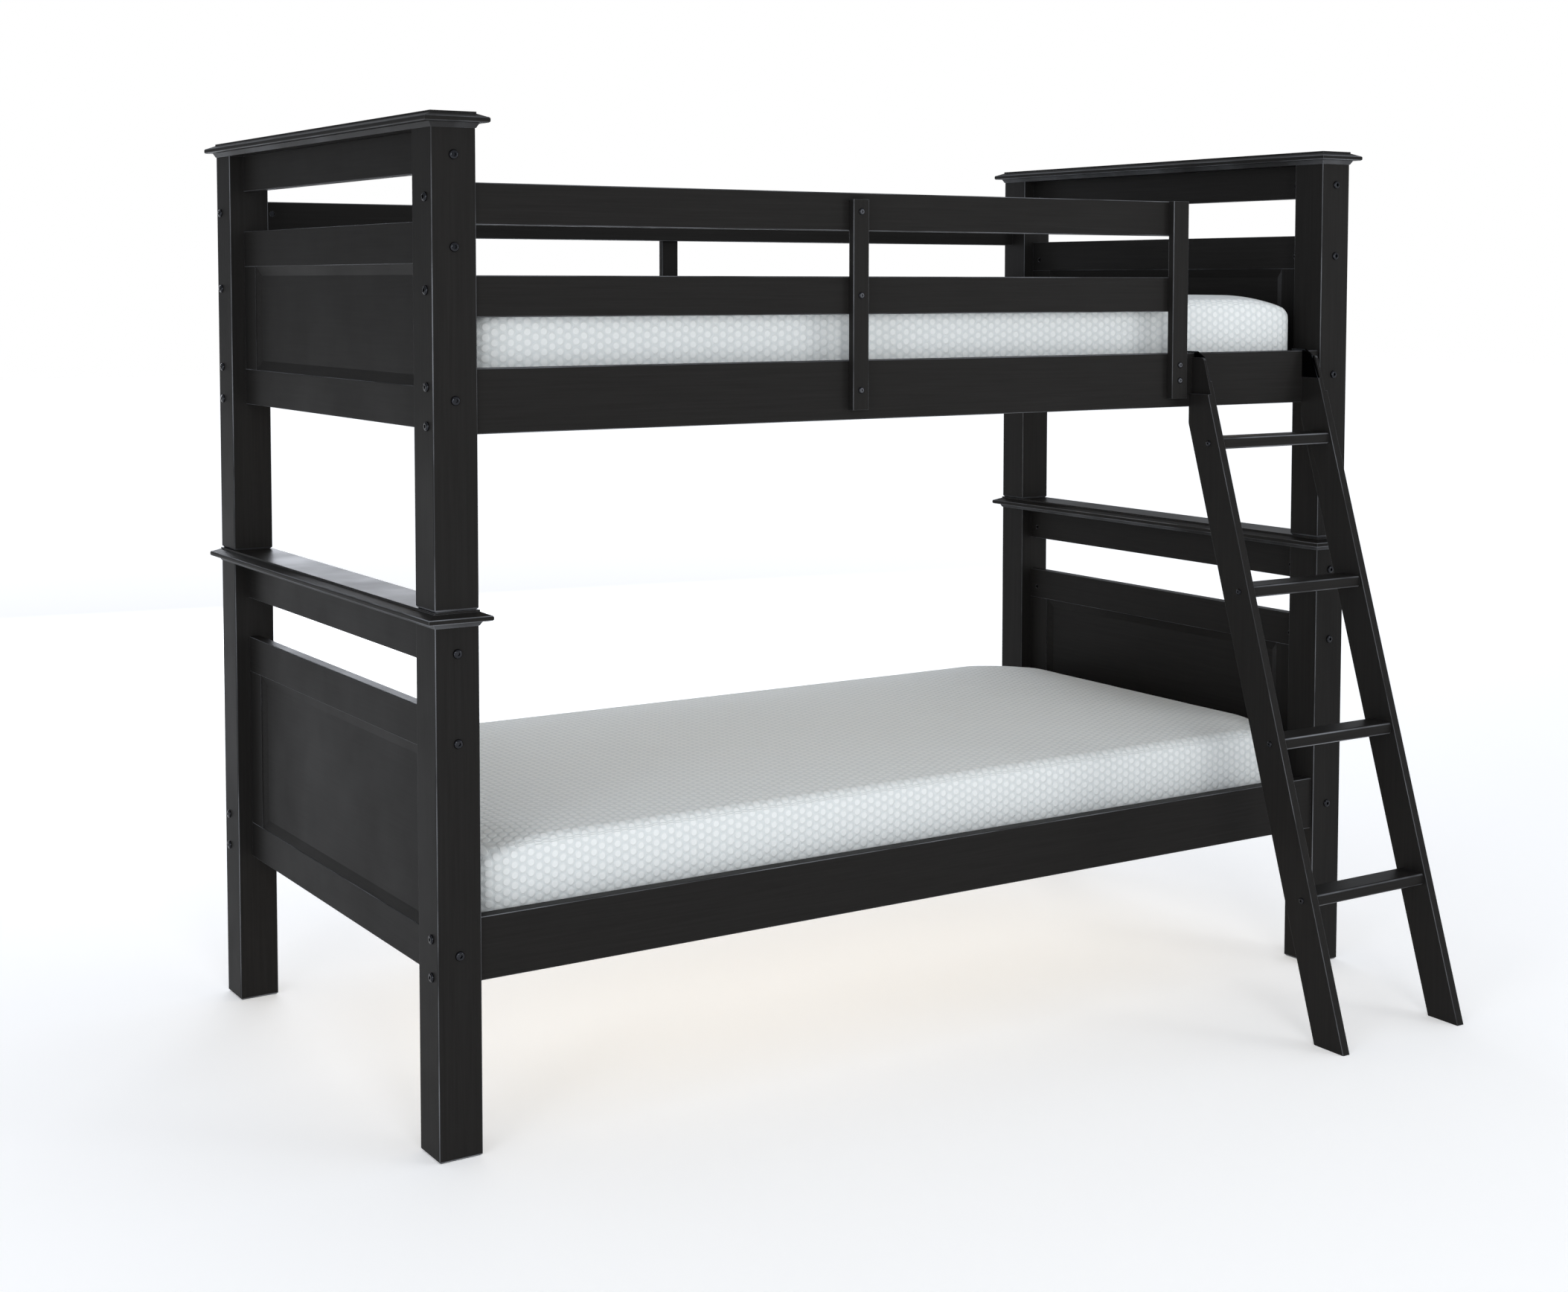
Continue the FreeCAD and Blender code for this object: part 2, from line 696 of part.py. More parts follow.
def ladder_stile(hand):
    """A leaning board with a level foot, its back cut plumb against the side rail."""
    name = f"ladder_stile_{hand}"
    knee = f"({LADDER_TOP} + ({BACK} - {STILE_CUT} + ladder_nose)/{TAN_LEAN})"
    points = [
        (f"{STILE_CUT} + {front_line('0')}", "0"),
        (BACK, knee),
        (BACK, LADDER_TOP),
        (front_line(LADDER_TOP), LADDER_TOP),
        (front_line("0"), "0"),
    ]
    body = outline_body(name + "_body", points, "stile_thick", (STILES[hand], FRONT, "0"))
    outer = 1 if hand == "right" else -1
    doc.recompute()
    top = number(LADDER_TOP)
    nose_y = number(f"{FRONT} + {front_line(LADDER_TOP)}")
    nose = dress("Part::Fillet", name + "_nose", body, "stile_nose_round",
                 lambda e: along(e, X) and e.BoundBox.ZMin > top - 1 and abs(e.BoundBox.YMin - nose_y) < 1)
    slope = math.radians(number("ladder_lean"))
    lean = Vector(0, math.sin(slope), math.cos(slope))
    soft = rounded(name + "_soft", nose, "stile_round", lean)
    drops = {outer: ("outer_rebate_drop", "outer_rebate"), -outer: ("inner_rebate_drop", "hook_thick")}
    tools = []
    for way, (drop, depth) in drops.items():
        x = f"{STILES[hand]} + ({way})*(stile_thick - {depth})"
        at = (x, f"{FRONT} + {BACK} + rebate_over - {ACROSS}", f"{LADDER_TOP} - {drop}")
        tools.append(box(f"{name}_rebate{len(tools)}", ("stile_thick", ACROSS, ACROSS), at))
    body = cut(name + "_outer", soft, tools[0])
    body = cut(name + "_inner", body, tools[1])
    doc.recompute()
    keep(name, bored(name + "_bored", body, near(rung_screw_bores(), body.Shape, THIN_SKIN)))


def rung_centre(i):
    """The Y and Z of a rung's centre, measured from the posts' front faces."""
    z = f"(rung_first + {i}*rung_pitch)"
    return f"({front_line(z)} + {STILE_CUT}/2)", z


def rung(i):
    name = f"ladder_rung_{i + 1}"
    y, z = rung_centre(i)
    size = ("ladder_width - 2*stile_thick", "rung_depth", "rung_thick")
    at = (f"{LADDER_LEFT} + stile_thick", f"{FRONT} + {y} - rung_depth/2", f"{z} - rung_thick/2")
    blank = box(name + "_blank", size, at)
    board = rounded(name + "_rounded", blank, "rung_round", X)
    doc.recompute()
    keep(name, bored(name + "_bored", board, near(rung_screw_bores(), board.Shape, THIN_SKIN)))


def rung_screws_at():
    found = []
    length = number("stile_thick + rung_screw_bite")
    for i in range(RUNG_COUNT):
        y, z = rung_centre(i)
        seat_y = number(f"{FRONT} + {y} - rung_screw_forward")
        found.append((Vector(number(LADDER_LEFT), seat_y, number(z)), X, length))
        found.append((Vector(number(LADDER_RIGHT), seat_y, number(z)), -X, length))
    return found


def rung_screw_bores():
    radius = number("screw_shank_radius")
    return [rod(at, way, radius, length) for at, way, length in rung_screws_at()]


def hook(hand):
    """A steel plate let into the stile's inner cheek, with a bar over the side rail and a lip."""
    name = f"ladder_hook_{hand}"
    low_z = f"({LADDER_TOP} - inner_rebate_drop)"
    over = f"({RAIL_TOP} + ladder_gap)"
    behind = "(side_setback + side_thick + ladder_gap)"
    points = [
        (BACK, low_z),
        (BACK, over),
        (behind, over),
        (behind, f"{over} - hook_lip"),
        (f"{behind} + hook_bar", f"{over} - hook_lip"),
        (f"{behind} + hook_bar", f"{over} + hook_bar"),
        (f"{BACK} - hook_nose", f"{over} + hook_bar"),
        (f"{front_line(LADDER_TOP)} + hook_nose", LADDER_TOP),
        (f"{front_line(low_z)} + hook_bar", low_z),
    ]
    if hand == "left":
        x = f"{STILES[hand]} + stile_thick - hook_thick"
    else:
        x = STILES[hand]
    keep(name, outline_body(name + "_body", points, "hook_thick", (x, FRONT, "0")))


# ---------------------------------------------------------------- making every piece
for bed in FOOT:
    for end in ENDS:
        for side in SIDES:
            post(bed, end, side)
        crown_cap(bed, end)
        for rail in ("top", "middle", "bottom"):
            end_rail(bed, end, rail)
        panel(bed, end)
    panel_stiles(bed)
    for side in SIDES:
        side_rail(bed, side)
    cleats(bed)
    slats(bed)
    mattress(bed)
    connectors(bed)
stacking_dowels()
for side in SIDES:
    for level in GUARD_BOARDS:
        guard_board(side, level)
guard_upright("guard_front_centre_upright", "front", FRONT_CENTRE, "centre_upright_width",
              "centre_upright_drop")
guard_upright("guard_front_end_upright", "front", END_CENTRE, "end_upright_width", "0")
guard_upright("guard_rear_upright", "rear", "0", "end_upright_width", "centre_upright_drop")
fasteners("guard_screws", guard_screws_at())
for hand in STILES:
    ladder_stile(hand)
    hook(hand)
for i in range(RUNG_COUNT):
    rung(i)
fasteners("ladder_screws", rung_screws_at())

# ---------------------------------------------------------------- checking and writing
doc.recompute()
failed = [thing.Name for thing in doc.Objects if {"Invalid", "Error"} & set(thing.State)]
for node, piece in PIECES.items():
    if piece.Shape.isNull() or not piece.Shape.isValid() or not piece.Shape.Solids:
        failed.append(node)
if failed:
    raise SystemExit("failed: " + ", ".join(failed))
for node, piece in PIECES.items():
    piece.Shape.exportStep(f"parts/{node}.step")
print(len(PIECES), "pieces")
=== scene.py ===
import math

import bmesh
import bpy
import numpy as np
from mathutils import Matrix, Vector


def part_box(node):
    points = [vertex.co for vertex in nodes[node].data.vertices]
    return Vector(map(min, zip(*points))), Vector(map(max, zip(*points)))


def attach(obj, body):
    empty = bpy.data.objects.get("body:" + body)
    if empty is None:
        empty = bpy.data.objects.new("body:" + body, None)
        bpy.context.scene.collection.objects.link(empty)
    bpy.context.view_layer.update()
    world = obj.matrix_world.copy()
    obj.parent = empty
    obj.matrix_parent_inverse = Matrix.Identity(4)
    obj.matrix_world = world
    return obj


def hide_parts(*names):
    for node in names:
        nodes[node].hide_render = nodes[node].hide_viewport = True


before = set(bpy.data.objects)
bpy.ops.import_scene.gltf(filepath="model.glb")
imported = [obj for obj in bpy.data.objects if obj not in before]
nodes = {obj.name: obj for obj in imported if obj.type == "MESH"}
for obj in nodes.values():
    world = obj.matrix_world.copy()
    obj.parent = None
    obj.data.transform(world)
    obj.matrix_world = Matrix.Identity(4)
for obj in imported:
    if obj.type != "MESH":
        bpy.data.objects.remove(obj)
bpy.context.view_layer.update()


# ---------------------------------------------------------------- the room
# A plain white floor under a white sky. One soft box stands at the front beside the viewer, a
# weaker one at the front right, a strip at the left end that picks out the corners, and a wide
# one behind the bed that lights the tops of the caps.
def linear(text):
    """The linear colour of an sRGB hex value."""
    parts = [int(text[i:i + 2], 16) / 255 for i in (1, 3, 5)]
    return tuple(c / 12.92 if c <= 0.04045 else ((c + 0.055) / 1.055) ** 2.4 for c in parts) + (1.0,)


def add(tree, kind, settings=None, **sockets):
    """Adds one node with its settings. A socket takes a value or another node's output."""
    made = tree.nodes.new("ShaderNode" + kind)
    for name, value in (settings or {}).items():
        setattr(made, name, value)
    for name, value in sockets.items():
        if name[0] == "_":
            socket = made.inputs[int(name[1:])]
        else:
            socket = made.inputs[name.replace("_", " ")]
        if isinstance(value, bpy.types.NodeSocket):
            tree.links.new(value, socket)
        else:
            socket.default_value = value
    return made


def fresh(name):
    """An empty material with its shader and output."""
    made = bpy.data.materials.new(name)
    made.use_nodes = True
    made.node_tree.nodes.clear()
    return made, made.node_tree


AIM = Vector((0.0, 0.2, 0.85))     # the soft boxes face the middle of the bed
FLOOR_HALF = 30.0
floor_mesh = bpy.data.meshes.new("studio_floor")
floor_mesh.from_pydata([(-FLOOR_HALF, -FLOOR_HALF, 0), (FLOOR_HALF, -FLOOR_HALF, 0),
                        (FLOOR_HALF, FLOOR_HALF, 0), (-FLOOR_HALF, FLOOR_HALF, 0)], [], [(0, 1, 2, 3)])
floor = bpy.data.objects.new("studio_floor", floor_mesh)
bpy.context.scene.collection.objects.link(floor)
painted_floor, tree = fresh("white painted studio floor")
CLOUD = 1.4                        # metres between the faint patches of the rolled paint
cloud = add(tree, "TexNoise", Scale=1 / CLOUD, Detail=2.0)
tone = add(tree, "ValToRGB", Fac=cloud.outputs[0])
tone.color_ramp.elements[0].color = linear("#F4F4F4")
tone.color_ramp.elements[1].color = linear("#F8F8F8")
# the paint glows a little more further off, so that the floor runs into the sky with no line
away = add(tree, "VectorMath", {"operation": "LENGTH"}, _0=add(tree, "TexCoord").outputs["Object"])
glow = add(tree, "MapRange", {"interpolation_type": "SMOOTHSTEP"}, Value=away.outputs["Value"],
           From_Min=2.5, From_Max=9.0, To_Min=0.30, To_Max=0.5).outputs[0]
paint = add(tree, "BsdfPrincipled", Base_Color=tone.outputs[0], Roughness=0.8,
            Emission_Color=linear("#FFFFFF"), Emission_Strength=glow)
add(tree, "OutputMaterial", Surface=paint.outputs[0])
floor_mesh.materials.append(painted_floor)

sky = bpy.data.worlds.new("white sky")
sky.use_nodes = True
sky.node_tree.nodes.clear()
seen = add(sky.node_tree, "Background", Color=linear("#FFFFFF"), Strength=1.0)
# the room is darker behind the bed's left end, so that the end faces stay black
toward = add(sky.node_tree, "VectorMath", {"operation": "DOT_PRODUCT"}, _1=(-0.6, 0.8, 0),
             _0=add(sky.node_tree, "TexCoord").outputs["Generated"]).outputs["Value"]
dim = add(sky.node_tree, "MapRange", {"interpolation_type": "SMOOTHSTEP"}, Value=toward,
          From_Min=0.4, From_Max=0.95, To_Min=0.72, To_Max=0.3).outputs[0]
lit = add(sky.node_tree, "Background", Color=linear("#EEF2F8"), Strength=dim)
ray = add(sky.node_tree, "LightPath")
both = add(sky.node_tree, "MixShader", _0=ray.outputs["Is Camera Ray"], _1=lit.outputs[0], _2=seen.outputs[0])
add(sky.node_tree, "OutputWorld", Surface=both.outputs[0])
bpy.context.scene.world = sky
bpy.context.scene.view_settings.view_transform = "Standard"


def soft_box(name, place, size, watts, colour):
    """A rectangular light that faces the bed and isn't seen itself."""
    lamp = bpy.data.lights.new(name, "AREA")
    lamp.shape, lamp.size, lamp.size_y = "RECTANGLE", size[0], size[1]
    lamp.energy, lamp.color = watts, linear(colour)[:3]
    made = bpy.data.objects.new(name, lamp)
    made.location = place
    made.visible_camera = False
    made.rotation_euler = (AIM - Vector(place)).to_track_quat("-Z", "Y").to_euler()
    bpy.context.scene.collection.objects.link(made)


soft_box("front_left_soft_box", (-1.9, -5.9, 2.2), (1.6, 1.6), 70, "#FFFFFF")
soft_box("front_right_soft_box", (3.6, -4.6, 1.8), (1.6, 2.0), 34, "#FFFFFF")
soft_box("left_strip", (-4.2, -2.5, 1.3), (0.8, 2.6), 22, "#F4F7FF")
soft_box("rear_soft_box", (1.0, 5.6, 1.8), (4.5, 1.8), 130, "#F2F6FF")

# ---------------------------------------------------------------- the viewpoint
# Eye height, in front of the left end, looking almost level towards the ladder.
EYE = Vector((-2.4437, -3.5805, 1.4335))
TURN, TIP, LEVEL = (math.radians(a) for a in (32.52, -3.5, -0.05))
ahead = Vector((math.sin(TURN) * math.cos(TIP), math.cos(TURN) * math.cos(TIP), math.sin(TIP)))
right = Vector((math.cos(TURN), -math.sin(TURN), 0))
above = right.cross(ahead)
tilt = Matrix.Rotation(LEVEL, 3, ahead)
right, above = tilt @ right, tilt @ above
lens = bpy.data.cameras.new("camera")
lens.sensor_width, lens.lens, lens.shift_y = 36.0, 50.62, -0.1453
camera = bpy.data.objects.new("camera", lens)
camera.matrix_world = Matrix.Translation(EYE) @ Matrix((right, above, -ahead)).transposed().to_4x4()
bpy.context.scene.collection.objects.link(camera)
bpy.context.scene.camera = camera

# ---------------------------------------------------------------- corner posts
# Four square posts to each bed, in line one over the other, of glued-up softwood. They are planed,
# sanded and sprayed with satin black lacquer. The film is thin: the grain telegraphs through it as
# long faint ridges. A grey line is painted along the sharp corners: partly wear of the film, partly
# a painted highlight where the corners catch the light.
LACQUER, LACQUER_RIDGE, LACQUER_WORN_AND_HIGHLIGHT = "#1F1E1D", "#242322", "#7E8084"
GRAIN_PITCH = 0.0045       # across the grain
GRAIN_RUN = 0.16           # along the grain
PATCH = 0.20               # between glossier and duller patches, and corners with and without the grey line
PEEL = 0.007               # between the high spots that the spray leaves
ARRIS = 0.0012             # width of the grey line at a corner: wear and painted highlight


def lacquer(name, along):
    """Satin black lacquer over wood whose grain runs along 0, 1 or 2: the x, y or z axis."""
    made, tree = fresh(name)
    place = add(tree, "TexCoord").outputs["Object"]
    spread = [1 / GRAIN_PITCH] * 3
    spread[along] = 1 / GRAIN_RUN
    stretched = add(tree, "VectorMath", {"operation": "MULTIPLY"}, _0=place, _1=spread).outputs[0]
    grain = add(tree, "TexNoise", Vector=stretched, Scale=1.0, Detail=4.0, Roughness=0.6).outputs[0]
    patches = add(tree, "TexNoise", Vector=place, Scale=1 / PATCH, Detail=3.0, Roughness=0.6).outputs[0]
    spray = add(tree, "TexNoise", Vector=place, Scale=1 / PEEL, Detail=2.0, Roughness=0.7).outputs[0]
    # worn arrises with a painted highlight: where the surface, softened over a millimetre or so, turns away
    # from a flat face
    turned = add(tree, "Bevel", {"samples": 4}, Radius=ARRIS).outputs[0]
    size = add(tree, "VectorMath", {"operation": "ABSOLUTE"}, _0=turned).outputs[0]
    parts = add(tree, "SeparateXYZ", Vector=size)
    flatter = add(tree, "Math", {"operation": "MAXIMUM"}, _0=parts.outputs[0], _1=parts.outputs[1]).outputs[0]
    flattest = add(tree, "Math", {"operation": "MAXIMUM"}, _0=flatter, _1=parts.outputs[2]).outputs[0]
    arris = add(tree, "MapRange", Value=flattest, From_Min=0.92, From_Max=0.78).outputs[0]
    broken = add(tree, "MapRange", Value=patches, From_Min=0.40, From_Max=0.66, To_Min=0.2).outputs[0]
    worn_and_highlight = add(tree, "Math", {"operation": "MULTIPLY"}, _0=arris, _1=broken).outputs[0]
    shade = add(tree, "ValToRGB", Fac=grain)
    shade.color_ramp.elements[0].position, shade.color_ramp.elements[1].position = 0.3, 0.75
    shade.color_ramp.elements[0].color = linear(LACQUER)
    shade.color_ramp.elements[1].color = linear(LACQUER_RIDGE)
    # the grey at the corners stands for wear of the film and for a painted highlight
    colour = add(tree, "Mix", {"data_type": "RGBA"}, _0=worn_and_highlight, _6=shade.outputs[0], _7=linear(LACQUER_WORN_AND_HIGHLIGHT))
    sheen = add(tree, "MapRange", Value=patches, From_Min=0.3, From_Max=0.7, To_Min=0.36,
                To_Max=0.46).outputs[0]
    ridges = add(tree, "Bump", Strength=0.12, Distance=0.0006, Height=grain).outputs[0]
    peel = add(tree, "Bump", Strength=0.05, Distance=0.0004, Height=spray, Normal=ridges).outputs[0]
    # the index is well under a real lacquer's 1.5: the sky all round is brighter than a room
    film = add(tree, "BsdfPrincipled", Base_Color=colour.outputs[2], Roughness=sheen, IOR=1.12, Normal=peel)
    add(tree, "OutputMaterial", Surface=film.outputs[0])
    return made


def finish(names, material):
    """Gives CAD pieces their material through the object's own slots."""
    for name in names:
        piece = nodes[name]
        if not piece.material_slots:
            piece.data.materials.append(material)
        for slot in piece.material_slots:
            slot.link = "OBJECT"
            slot.material = material


upright_grain = lacquer("satin black lacquer on upright wood", 2)
finish([n for n in nodes if "_post_" in n], upright_grain)

# ---------------------------------------------------------------- end frames
# Each end of each bed has three rails across it between the posts. A thin panel with a bevelled
# border is held between the two lower rails and two short stiles.
cross_grain = lacquer("satin black lacquer on wood across the bed", 1)
for end in ("left", "right"):
    finish([n for n in nodes if n.endswith(("rail_" + end, "panel_" + end))], cross_grain)
finish(["lower_panel_stiles", "upper_panel_stiles"], upright_grain)

# ---------------------------------------------------------------- crown caps
# A moulded board, machined from one piece of the same softwood, lies along the top of each end
# and over both its posts. The lower ones carry the upper bed.
finish([n for n in nodes if "crown_cap" in n], cross_grain)

# ---------------------------------------------------------------- side rails
# Two long rails to each bed, each planed from one softwood board, lacquered, and bolted to the
# posts through their end faces.
long_grain = lacquer("satin black lacquer on wood along the bed", 0)
finish([n for n in nodes if "side_rail" in n], long_grain)

# ---------------------------------------------------------------- guard rails
# Two boards along the front of the upper bed and two along its back, bolted to the posts, with
# short uprights screwed over them to tie them to the side rail.
finish([n for n in nodes if n.startswith("guard") and "board" in n], long_grain)
finish([n for n in nodes if n.startswith("guard") and n.endswith("upright")], upright_grain)

# ---------------------------------------------------------------- slats and cleats
# Slats of sawn pine across each bed, resting on cleats screwed along the side rails. They are
# sanded and left bare: pale early wood with brown late-wood lines that wander along the strip.
bare_pine, tree = fresh("bare sanded pine")
place = add(tree, "TexCoord").outputs["Object"]
RING_PITCH = 0.007         # between the late-wood lines
RING_RUN = 0.4             # along them
rows = add(tree, "VectorMath", {"operation": "MULTIPLY"}, _0=place,
           _1=(1 / RING_PITCH, 1 / RING_RUN, 1 / RING_PITCH)).outputs[0]
wander = add(tree, "TexNoise", Vector=rows, Scale=0.6, Detail=3.0).outputs[0]
late_wood = add(tree, "ValToRGB", Fac=wander)
late_wood.color_ramp.elements[0].position, late_wood.color_ramp.elements[1].position = 0.35, 0.7
late_wood.color_ramp.elements[0].color = linear("#D9C6A4")
late_wood.color_ramp.elements[1].color = linear("#BCA07A")
fibres = add(tree, "TexNoise", Vector=rows, Scale=5.0, Detail=3.0).outputs[0]
fuzz = add(tree, "Bump", Strength=0.25, Distance=0.0005, Height=fibres).outputs[0]
dry = add(tree, "MapRange", Value=fibres, To_Min=0.6, To_Max=0.8).outputs[0]
board = add(tree, "BsdfPrincipled", Base_Color=late_wood.outputs[0], Roughness=dry, Normal=fuzz)
add(tree, "OutputMaterial", Surface=board.outputs[0])
finish([n for n in nodes if n.endswith(("slats", "cleats"))], bare_pine)

# ---------------------------------------------------------------- ladder
# Two leaning stiles with four flat rungs housed between them and screwed through the stiles,
# lacquered like the bed.
finish(["ladder_stile_left", "ladder_stile_right"], upright_grain)
finish([f"ladder_rung_{i}" for i in (1, 2, 3, 4)], long_grain)

# ---------------------------------------------------------------- hooks, bolts and screws
# Ladder hooks are steel plate, and the bolts and screws are steel with low domed heads, all
# blackened. They are as dark as the wood but far glossier, with sharp small highlights.
RUBBED = 0.0167            # between the spots rubbed brighter by handling
black_steel, tree = fresh("blackened steel")
place = add(tree, "TexCoord").outputs["Object"]
rubbed = add(tree, "TexNoise", Vector=place, Scale=1 / RUBBED, Detail=3.0).outputs[0]
tint = add(tree, "ValToRGB", Fac=rubbed)
tint.color_ramp.elements[0].color = linear("#26272A")
tint.color_ramp.elements[1].color = linear("#37383B")
slick = add(tree, "MapRange", Value=rubbed, To_Min=0.05, To_Max=0.12).outputs[0]
pits = add(tree, "Bump", Strength=0.1, Distance=0.0003, Height=rubbed).outputs[0]
metal = add(tree, "BsdfPrincipled", Base_Color=tint.outputs[0], Metallic=1.0, Roughness=slick, Normal=pits)
add(tree, "OutputMaterial", Surface=metal.outputs[0])
finish([n for n in nodes if "hook" in n or "screws" in n or "connectors" in n], black_steel)

# ---------------------------------------------------------------- stacking dowels
# Four drawn steel rods stand in the heads of the lower posts and locate the upper bed. They are
# left bright, with the fine lines of the drawing die along them.
DRAWN_PITCH, DRAWN_RUN = 0.0004, 0.033
bright_steel, tree = fresh("drawn bright steel")
place = add(tree, "TexCoord").outputs["Object"]
drawn = add(tree, "VectorMath", {"operation": "MULTIPLY"}, _0=place,
            _1=(1 / DRAWN_PITCH, 1 / DRAWN_PITCH, 1 / DRAWN_RUN)).outputs[0]
lines = add(tree, "TexNoise", Vector=drawn, Scale=1.0, Detail=2.0).outputs[0]
soft = add(tree, "MapRange", Value=lines, To_Min=0.22, To_Max=0.36).outputs[0]
hue = add(tree, "ValToRGB", Fac=lines)
hue.color_ramp.elements[0].color = linear("#A9ABAD")
hue.color_ramp.elements[1].color = linear("#C2C4C6")
rod = add(tree, "BsdfPrincipled", Base_Color=hue.outputs[0], Metallic=1.0, Roughness=soft)
add(tree, "OutputMaterial", Surface=rod.outputs[0])
finish(["stacking_dowels"], bright_steel)

# ---------------------------------------------------------------- mattresses
# A foam block in a white knitted cover, loose on the slats. The knit is a double layer blown up
# into round blisters, one to each six-sided cell. The block has rounded edges and a slight crown.
BLISTER_PITCH = 0.0175
START_INSET = 0.008        # the cover starts this much inside the block
VOXEL = 0.014              # the cover's mesh
SWELL = 0.007              # the furthest that any point of it moves
FRAMES = 20
EDGE_ROUND = 0.020
CORNER_ROUND = 0.045
DROOP, DROOP_REACH = 0.038, 0.17   # how far a top corner sinks, and how far from it that starts
CLEAR = 0.0006             # kept between the cover and its own space's sides
END_FACE = 0.72            # past this slope to the length, the cloth belongs to the end pieces
YARN = 0.00111             # between the loops of the yarn
STRETCH = 0.111            # between places where the cells are pulled out of line
# the darker knit colour is painted shade for the grooves and seams, and the lighter one is for the blister
# tops
KNIT_HIGH, KNIT_PAINTED_SHADE = "#E9ECEB", "#DADFDF"


def block(name, lo, hi, corner, edge):
    """A closed box, as a mesh object: its four upright corners rounded, then its top and bottom rims."""
    made = bpy.data.objects.new(name, bpy.data.meshes.new(name))
    bpy.context.scene.collection.objects.link(made)
    shape = bmesh.new()
    bmesh.ops.create_cube(shape, size=1.0)
    for v in shape.verts:
        v.co = Vector(((lo[i] + hi[i]) / 2 + v.co[i] * (hi[i] - lo[i]) for i in range(3)))
    upright = [e for e in shape.edges if abs(e.verts[0].co.z - e.verts[1].co.z) > 0.01]
    bmesh.ops.bevel(shape, geom=upright, offset=corner, segments=6, profile=0.5, affect="EDGES")
    rims = [e for e in shape.edges if len(e.link_faces) == 2
            and abs(e.link_faces[0].normal.z - e.link_faces[1].normal.z) > 0.5]
    bmesh.ops.bevel(shape, geom=rims, offset=edge, segments=5, profile=0.5, affect="EDGES")
    shape.to_mesh(made.data)
    shape.free()
    return made


def apply_all(piece):
    """Turns the piece's modifiers into its mesh."""
    seen = piece.evaluated_get(bpy.context.evaluated_depsgraph_get())
    mesh = bpy.data.meshes.new_from_object(seen)
    piece.modifiers.clear()
    piece.data = mesh


def points(piece):
    """The places of the piece's points, as rows."""
    co = np.empty(len(piece.data.vertices) * 3)
    piece.data.vertices.foreach_get("co", co)
    return co.reshape(-1, 3)


def swell(piece):
    """The air and foam inside push the cover's top and bottom out, which draws its sides in a little.
    No point moves further than SWELL."""
    before = points(piece)
    cloth = piece.modifiers.new("cover", "CLOTH")
    cloth.settings.quality = 4
    cloth.settings.mass = 0.3
    cloth.settings.tension_stiffness = cloth.settings.compression_stiffness = 15
    cloth.settings.bending_stiffness = 0.5
    cloth.settings.use_pressure = True
    cloth.settings.uniform_pressure_force = 4
    cloth.settings.effector_weights.gravity = 0
    cloth.collision_settings.use_collision = False
    cloth.point_cache.frame_start, cloth.point_cache.frame_end = 1, FRAMES
    for step in range(1, FRAMES + 1):
        bpy.context.scene.frame_set(step)
    apply_all(piece)
    bpy.context.scene.frame_set(1)
    moved = points(piece) - before
    far = np.linalg.norm(moved, axis=1, keepdims=True)
    moved *= np.minimum(1, SWELL / np.maximum(far, 1e-9))
    piece.data.vertices.foreach_set("co", (before + moved).ravel())


def knit_lines(piece, lo, hi, radius):
    """Lays the knit's own coordinates on the cover, in metres: the cloth wraps over the length of
    the block from the front, over the top and down the back, and has its own pieces at the ends."""
    co = points(piece)
    y0, y1, z0, z1 = lo[1] + radius, hi[1] - radius, lo[2] + radius, hi[2] - radius
    y, z = co[:, 1], co[:, 2]
    quarter = radius * math.pi / 2
    up = z > (z0 + z1) / 2
    edge_z = np.where(up, z1, z0)
    past = np.where(up, z - z1, z0 - z)
    inward = np.clip(y, y0, y1) - y0
    front_turn = np.arctan2(np.maximum(past, 0), np.maximum(y0 - y, 1e-9)) * radius
    back_turn = (math.pi / 2 - np.arctan2(np.maximum(past, 0), np.maximum(y - y1, 1e-9))) * radius
    run = np.where(y < y0, front_turn, np.where(y > y1, quarter + inward + back_turn, quarter + inward))
    on_back = (y > y1) & (past <= 0)
    height = np.where(past > 0, edge_z + np.where(up, run, -run), np.where(on_back, 0, z))
    height = np.where(on_back, z1 + 2 * quarter + (y1 - y0) + (z1 - z), height)
    layer = piece.data.uv_layers.new(name="knit")
    loops = np.empty(len(piece.data.loops), int)
    piece.data.loops.foreach_get("vertex_index", loops)
    normals = np.empty(len(piece.data.polygons) * 3)
    piece.data.polygons.foreach_get("normal", normals)
    counts = np.empty(len(piece.data.polygons), int)
    piece.data.polygons.foreach_get("loop_total", counts)
    at_end = np.repeat(np.abs(normals.reshape(-1, 3)[:, 0]) > END_FACE, counts)
    u = np.where(at_end, co[loops, 1], co[loops, 0])
    v = np.where(at_end, co[loops, 2], height[loops])
    layer.data.foreach_set("uv", np.column_stack((u, v)).ravel())


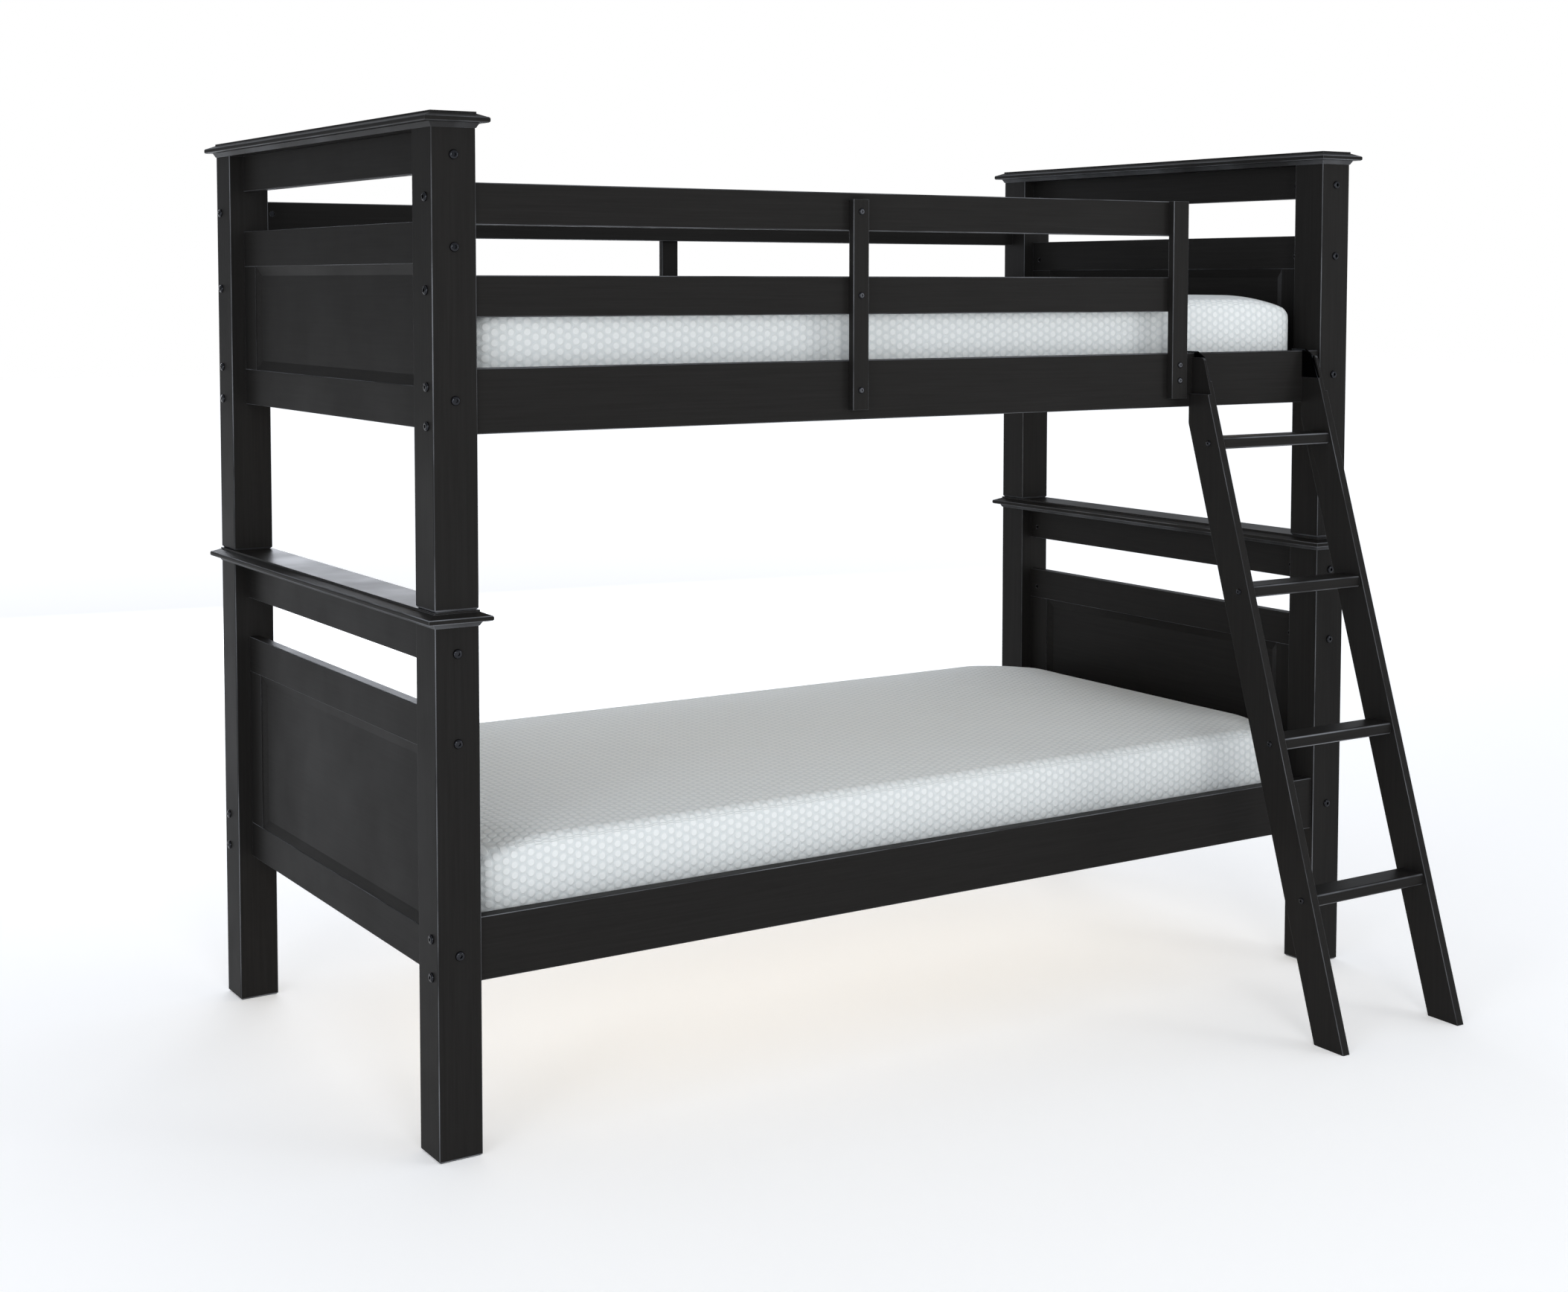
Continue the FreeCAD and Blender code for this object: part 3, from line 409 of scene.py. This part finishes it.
blister_knit, tree = fresh("white blister knit cover")
cloth_at = add(tree, "UVMap", {"uv_map": "knit"}).outputs[0]
stretch = add(tree, "TexNoise", Vector=cloth_at, Scale=1 / STRETCH, Detail=2.0).outputs[1]
shift = add(tree, "VectorMath", {"operation": "MULTIPLY_ADD"}, _0=stretch, _1=(0.006, 0.006, 0),
            _2=cloth_at).outputs[0]
CELL = (BLISTER_PITCH * math.sqrt(3), BLISTER_PITCH, 1.0)
in_cells = add(tree, "VectorMath", {"operation": "DIVIDE"}, _0=shift, _1=CELL).outputs[0]
nearest = []
for start in (0.0, 0.5):
    moved = add(tree, "VectorMath", {"operation": "ADD"}, _0=in_cells, _1=(start, start, 0)).outputs[0]
    part = add(tree, "VectorMath", {"operation": "FRACTION"}, _0=moved).outputs[0]
    centred = add(tree, "VectorMath", {"operation": "SUBTRACT"}, _0=part, _1=(0.5, 0.5, 0)).outputs[0]
    flat = add(tree, "VectorMath", {"operation": "MULTIPLY"}, _0=centred,
               _1=(math.sqrt(3), 1, 0)).outputs[0]
    nearest.append((flat, add(tree, "VectorMath", {"operation": "LENGTH"}, _0=flat).outputs["Value"]))
nearer = add(tree, "Math", {"operation": "LESS_THAN"}, _0=nearest[1][1], _1=nearest[0][1]).outputs[0]
offset = add(tree, "Mix", {"data_type": "VECTOR"}, _0=nearer, _4=nearest[0][0], _5=nearest[1][0]).outputs[1]
radius = add(tree, "VectorMath", {"operation": "LENGTH"}, _0=offset).outputs["Value"]
plain = add(tree, "VectorMath", {"operation": "ABSOLUTE"}, _0=offset).outputs[0]
slanted = add(tree, "VectorMath", {"operation": "DOT_PRODUCT"}, _0=plain,
              _1=(math.sqrt(3) / 2, 0.5, 0)).outputs["Value"]
straight = add(tree, "VectorMath", {"operation": "DOT_PRODUCT"}, _0=plain, _1=(0, 1, 0)).outputs["Value"]
six_sided = add(tree, "Math", {"operation": "MAXIMUM"}, _0=slanted, _1=straight).outputs[0]
# a blister is 0.4 of the pitch in radius, ringed by a shallow groove, and a stitched line
# divides the cells
dome = add(tree, "MapRange", {"interpolation_type": "SMOOTHSTEP"}, Value=radius,
           From_Min=0.30, From_Max=0.42, To_Min=1.0, To_Max=0.0).outputs[0]
seam = add(tree, "MapRange", {"interpolation_type": "SMOOTHSTEP"}, Value=six_sided,
           From_Min=0.44, From_Max=0.495, To_Min=0.0, To_Max=0.35).outputs[0]
relief = add(tree, "Math", {"operation": "SUBTRACT"}, _0=dome, _1=seam).outputs[0]
yarn = add(tree, "TexNoise", Vector=cloth_at, Scale=1 / YARN, Detail=1.0).outputs[0]
relief = add(tree, "Math", {"operation": "MULTIPLY_ADD"}, _0=yarn, _1=0.12, _2=relief).outputs[0]
# painted shade: the colour follows the relief, darker in the grooves and seams round the blisters and lighter
# on their tops
shade = add(tree, "MapRange", Value=relief, From_Min=-0.3, From_Max=1.0, To_Min=0.0, To_Max=1.0).outputs[0]
colour = add(tree, "Mix", {"data_type": "RGBA"}, _0=shade, _6=linear(KNIT_PAINTED_SHADE),
             _7=linear(KNIT_HIGH)).outputs[2]
puffs = add(tree, "Bump", Strength=0.55, Distance=0.0016, Height=relief).outputs[0]
cotton = add(tree, "BsdfPrincipled", Base_Color=colour, Roughness=0.9, Sheen_Weight=0.25, Normal=puffs)
cotton.inputs["Sheen Roughness"].default_value = 0.5
cotton.inputs["Specular IOR Level"].default_value = 0.25
add(tree, "OutputMaterial", Surface=cotton.outputs[0])

for bed in ("lower", "upper"):
    node = bed + "_mattress"
    lo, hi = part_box(node)
    inset = Vector((START_INSET,) * 3)
    cover = block(bed + "_mattress_cover", lo + inset, hi - inset,
                  CORNER_ROUND - START_INSET, EDGE_ROUND - START_INSET / 2)
    remesh = cover.modifiers.new("remesh", "REMESH")
    remesh.mode, remesh.voxel_size = "VOXEL", VOXEL
    apply_all(cover)
    swell(cover)
    finer = cover.modifiers.new("finer", "SUBSURF")
    finer.levels = finer.render_levels = 1
    apply_all(cover)
    # the foam is weakest at its four top corners, which droop; the cover never leaves the block's
    # own space, and it lies nearly flat on the slats, lifting a few millimetres towards its rim
    co = points(cover)
    middle = (lo + hi) / 2
    reach = np.abs(co[:, :2] - np.array(middle)[:2]) - np.array(hi - middle)[:2]
    near_corner = np.clip(1 - np.hypot(reach[:, 0], reach[:, 1]) / DROOP_REACH, 0, 1)
    lift = np.clip((co[:, 2] - middle.z) / (hi.z - middle.z), 0, 1)
    co[:, 2] -= DROOP * near_corner ** 2 * lift
    co = np.clip(co, np.array(lo) + CLEAR, np.array(hi) - CLEAR)
    cover.data.vertices.foreach_set("co", co.ravel())
    knit_lines(cover, lo, hi, EDGE_ROUND)
    cover.data.polygons.foreach_set("use_smooth", [True] * len(cover.data.polygons))
    cover.data.materials.append(blister_knit)
    cover.data.update()
    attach(cover, node)
    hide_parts(node)
